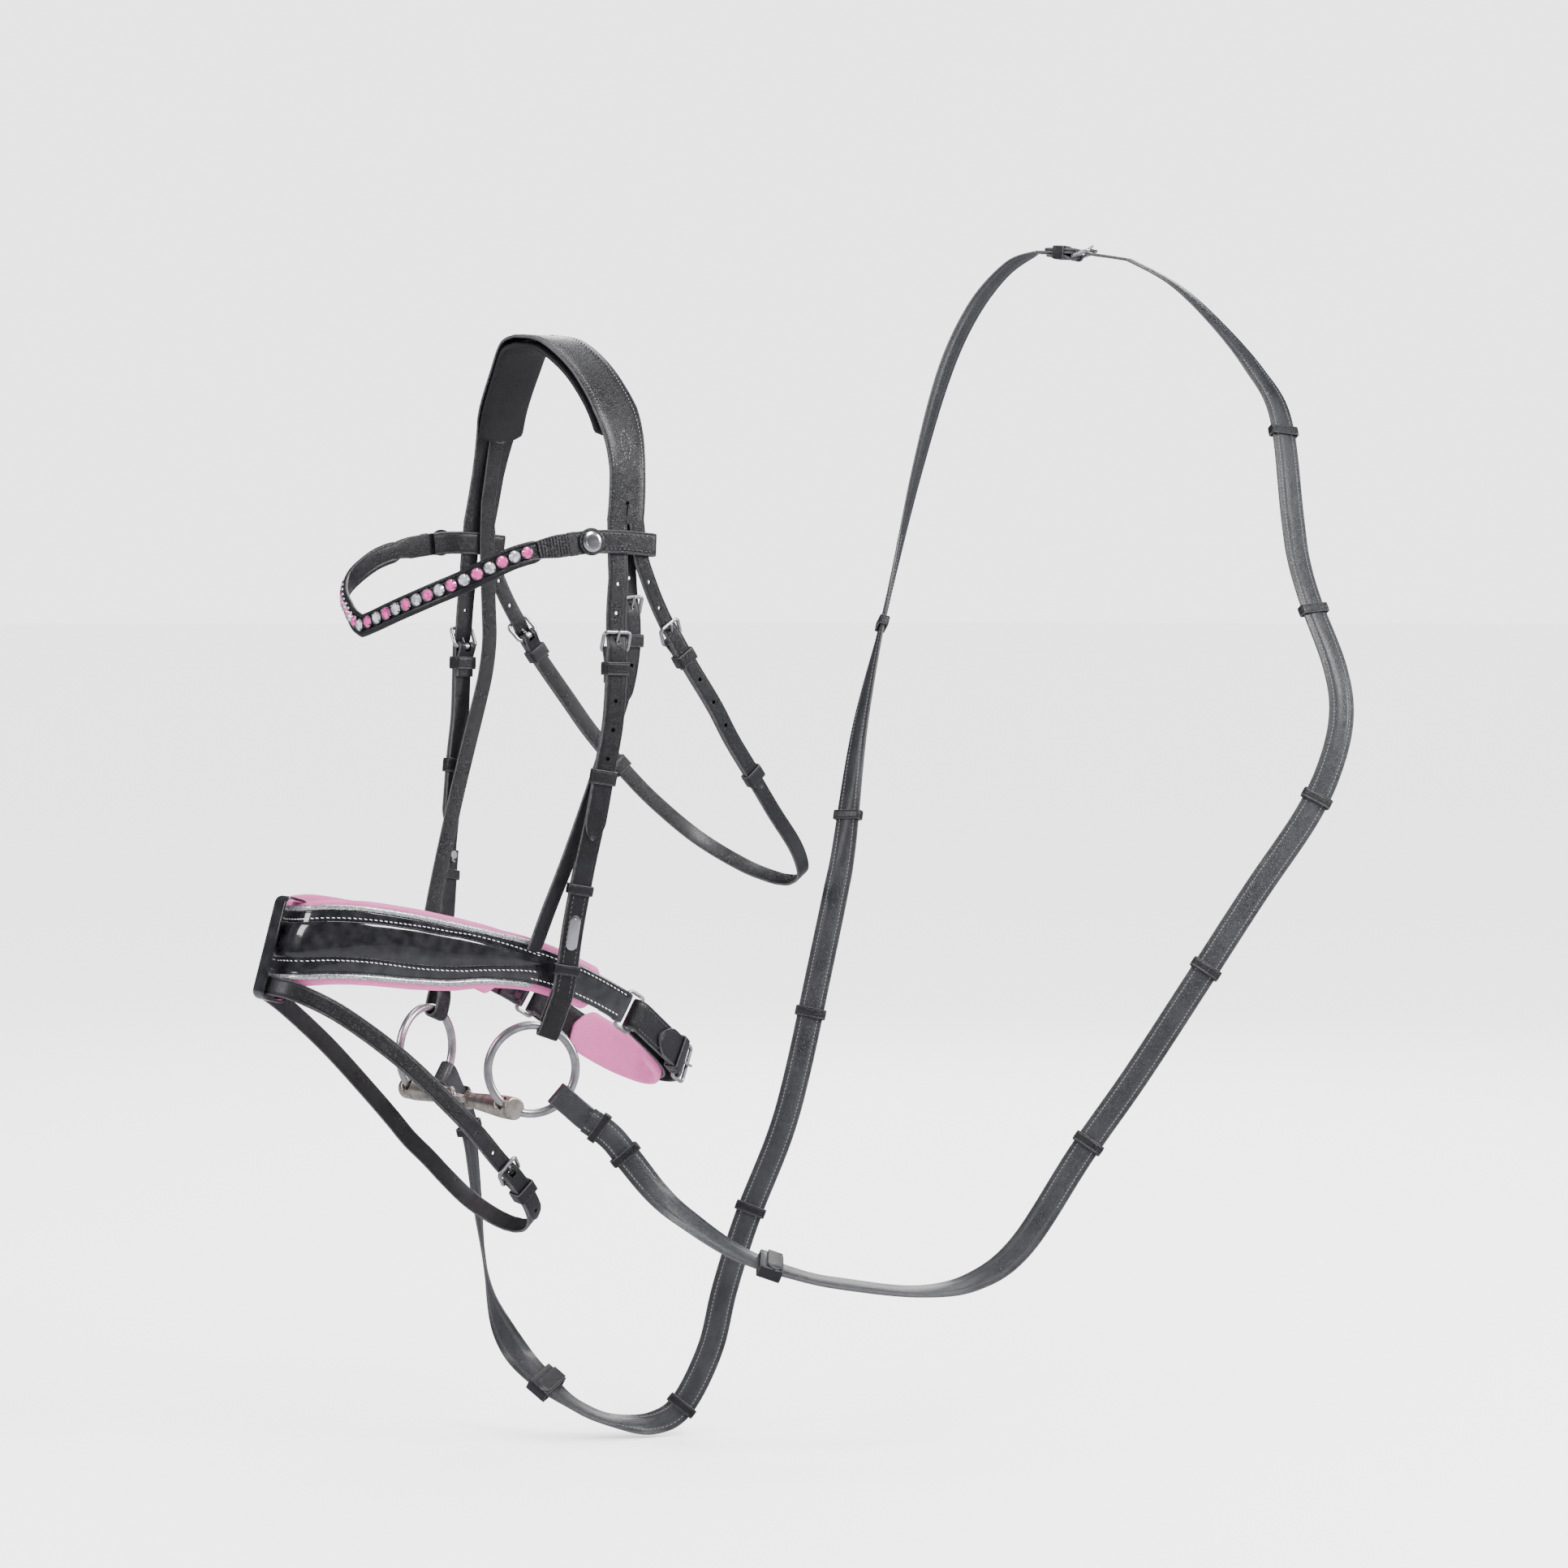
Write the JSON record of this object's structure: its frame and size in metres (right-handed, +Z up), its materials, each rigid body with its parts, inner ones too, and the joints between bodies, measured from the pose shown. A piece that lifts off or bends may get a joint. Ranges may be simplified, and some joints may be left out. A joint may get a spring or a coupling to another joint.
{
  "type": "snaffle bridle",
  "caption": "Padded leather snaffle bridle with crystal browband, patent crank noseband, flash strap, loose-ring bit and hanging reins.",
  "frame": {"origin": "middle of the poll seat, on the underside of the crown padding", "axes": "+Z up, the face of the head looks along -Y, +X toward the near (left) side; stored as worn, with the reins over the withers behind at +Y"},
  "size_m": [0.4043, 0.7788, 0.8682],
  "materials": {
    "black_leather": "satin black with fine pale stitching",
    "rein_leather": "satin black, padded grip",
    "patent_leather": "high-gloss black patent",
    "pink_leather": "soft pink padded leather",
    "glitter_piping": "silver glitter cloth",
    "satin_steel": "satin",
    "mouthpiece_alloy": "aged satin, warm silver",
    "pink_glass": "faceted, clear pink",
    "clear_glass": "faceted, clear"
  },
  "bodies": {
    "bridle": {"crown_leather": "black_leather", "crown_padding": "black_leather", "sliphead": "black_leather", "hanger_strap": "black_leather", "hanger_buckle": "satin_steel", "browband": "black_leather", "crystal_settings": "satin_steel", "pink_crystals": "pink_glass", "clear_crystals": "clear_glass", "browband_snaps": "satin_steel", "cheekpiece_left": "black_leather", "cheekpiece_right": "black_leather", "cheek_buckle_left": "satin_steel", "cheek_buckle_right": "satin_steel", "fixed_keepers": "black_leather", "nameplates": "satin_steel", "cheek_hook_studs": "satin_steel", "throatlash": "black_leather", "throat_buckle_left": "satin_steel", "throat_buckle_right": "satin_steel", "noseband_shell": "patent_leather", "noseband_raised": "patent_leather", "noseband_piping": "glitter_piping", "noseband_padding": "pink_leather", "crank_frame_left": "satin_steel", "crank_frame_right": "satin_steel", "crank_strap": "black_leather", "crank_buckle": "satin_steel", "chin_pad": "pink_leather", "flash_loop": "patent_leather", "flash_strap": "black_leather", "flash_buckle": "satin_steel", "rein_loop_left": "black_leather", "rein_loop_right": "black_leather", "rein_left": "rein_leather", "rein_right": "rein_leather", "hand_stops": "black_leather", "martingale_stops": "black_leather", "rein_keepers": "black_leather", "rein_ends": "black_leather", "rein_buckle": "satin_steel"},
    "ring_left": {"bit_ring_left": "satin_steel"},
    "ring_right": {"bit_ring_right": "satin_steel"},
    "mouthpiece_left": {"bit_arm_left": "mouthpiece_alloy"},
    "mouthpiece_right": {"bit_arm_right": "mouthpiece_alloy"},
    "link": {"bit_link": "mouthpiece_alloy"},
    "cheek_tongue_left": {"cheek_tongue_left": "satin_steel"},
    "cheek_tongue_right": {"cheek_tongue_right": "satin_steel"},
    "throat_tongue_left": {"throat_tongue_left": "satin_steel"},
    "throat_tongue_right": {"throat_tongue_right": "satin_steel"},
    "hanger_tongue": {"hanger_tongue": "satin_steel"},
    "flash_tongue": {"flash_tongue": "satin_steel"},
    "crank_tongue": {"crank_tongue": "satin_steel"},
    "rein_tongue": {"rein_tongue": "satin_steel"},
    "roller_left": {"crank_roller_left": "satin_steel"},
    "roller_right": {"crank_roller_right": "satin_steel"},
    "cheek_runner_left": {"cheek_runner_left": "black_leather"},
    "cheek_runner_right": {"cheek_runner_right": "black_leather"},
    "throat_runner_left": {"throat_runner_left": "black_leather"},
    "throat_runner_right": {"throat_runner_right": "black_leather"}
  },
  "joints": [
    {"name": "ring_left_turn", "type": "hinge", "parent": "bridle", "child": "ring_left", "pos_m": [0.072, -0.056, -0.498], "axis": [0.9272, -0.3746, 0], "continuous": true},
    {"name": "ring_right_turn", "type": "hinge", "parent": "bridle", "child": "ring_right", "pos_m": [-0.072, -0.056, -0.498], "axis": [-0.9272, -0.3746, 0], "continuous": true},
    {"name": "mouthpiece_left_swing", "type": "hinge", "parent": "bridle", "child": "mouthpiece_left", "pos_m": [0.06611, -0.07057, -0.52414], "axis": [0, 0, 1], "range_deg": [-6, 6]},
    {"name": "link_swing", "type": "hinge", "parent": "mouthpiece_left", "child": "link", "pos_m": [0.008, -0.07057, -0.52414], "axis": [0, 0, 1], "range_deg": [-6, 6]},
    {"name": "mouthpiece_right_swing", "type": "hinge", "parent": "bridle", "child": "mouthpiece_right", "pos_m": [-0.06611, -0.07057, -0.52414], "axis": [0, 0, 1], "range_deg": [-6, 6]},
    {"name": "cheek_tongue_left_lift", "type": "hinge", "parent": "bridle", "child": "cheek_tongue_left", "pos_m": [0.09931, -0.00571, -0.21082], "axis": [0.163, 0.9862, -0.0291], "range_deg": [0, 4]},
    {"name": "cheek_tongue_right_lift", "type": "hinge", "parent": "bridle", "child": "cheek_tongue_right", "pos_m": [-0.09931, -0.00571, -0.21082], "axis": [0.163, -0.9862, 0.0291], "range_deg": [0, 4]},
    {"name": "throat_tongue_left_lift", "type": "hinge", "parent": "bridle", "child": "throat_tongue_left", "pos_m": [0.095, 0.04493, -0.20353], "axis": [-0.0021, 0.8354, 0.5496], "range_deg": [0, 4]},
    {"name": "throat_tongue_right_lift", "type": "hinge", "parent": "bridle", "child": "throat_tongue_right", "pos_m": [-0.095, 0.04493, -0.20353], "axis": [-0.0021, -0.8354, -0.5496], "range_deg": [0, 4]},
    {"name": "hanger_tongue_lift", "type": "hinge", "parent": "bridle", "child": "hanger_tongue", "pos_m": [0.09174, 0.01121, -0.18687], "axis": [0.0001, 0.9988, 0.0485], "range_deg": [0, 4]},
    {"name": "flash_tongue_lift", "type": "hinge", "parent": "bridle", "child": "flash_tongue", "pos_m": [0.05507, -0.06258, -0.57353], "axis": [-0.0163, 0.7358, 0.677], "range_deg": [0, 4]},
    {"name": "crank_tongue_lift", "type": "hinge", "parent": "bridle", "child": "crank_tongue", "pos_m": [0.04302, 0.08279, -0.50233], "axis": [0.1499, -0.4192, -0.8954], "range_deg": [0, 4]},
    {"name": "rein_tongue_lift", "type": "hinge", "parent": "bridle", "child": "rein_tongue", "pos_m": [-0.00391, 0.48217, 0.08368], "axis": [0.499, -0.8666, 0.0004], "range_deg": [0, 4]},
    {"name": "roller_left_turn", "type": "hinge", "parent": "bridle", "child": "roller_left", "pos_m": [0.06438, 0.03415, -0.46751], "axis": [-0.023, 0.5158, 0.8564], "continuous": true},
    {"name": "roller_right_turn", "type": "hinge", "parent": "bridle", "child": "roller_right", "pos_m": [-0.06438, 0.03415, -0.46751], "axis": [0.023, 0.5158, 0.8564], "continuous": true},
    {"name": "cheek_runner_left_slide", "type": "slide", "parent": "bridle", "child": "cheek_runner_left", "axis": [-0.0816, -0.1507, -0.9852], "range_m": [0, 0.005]},
    {"name": "cheek_runner_right_slide", "type": "slide", "parent": "bridle", "child": "cheek_runner_right", "axis": [0.0816, -0.1507, -0.9852], "range_m": [0, 0.005]},
    {"name": "throat_runner_left_slide", "type": "slide", "parent": "bridle", "child": "throat_runner_left", "axis": [-0.1875, 0.6508, -0.7358], "range_m": [-0.005, 0]},
    {"name": "throat_runner_right_slide", "type": "slide", "parent": "bridle", "child": "throat_runner_right", "axis": [0.1875, 0.6508, -0.7358], "range_m": [-0.005, 0]}
  ],
  "couplings": [
    {"joint": "mouthpiece_right_swing", "follows": "mouthpiece_left_swing", "ratio": -1},
    {"joint": "link_swing", "follows": "mouthpiece_left_swing", "ratio": -1}
  ]
}
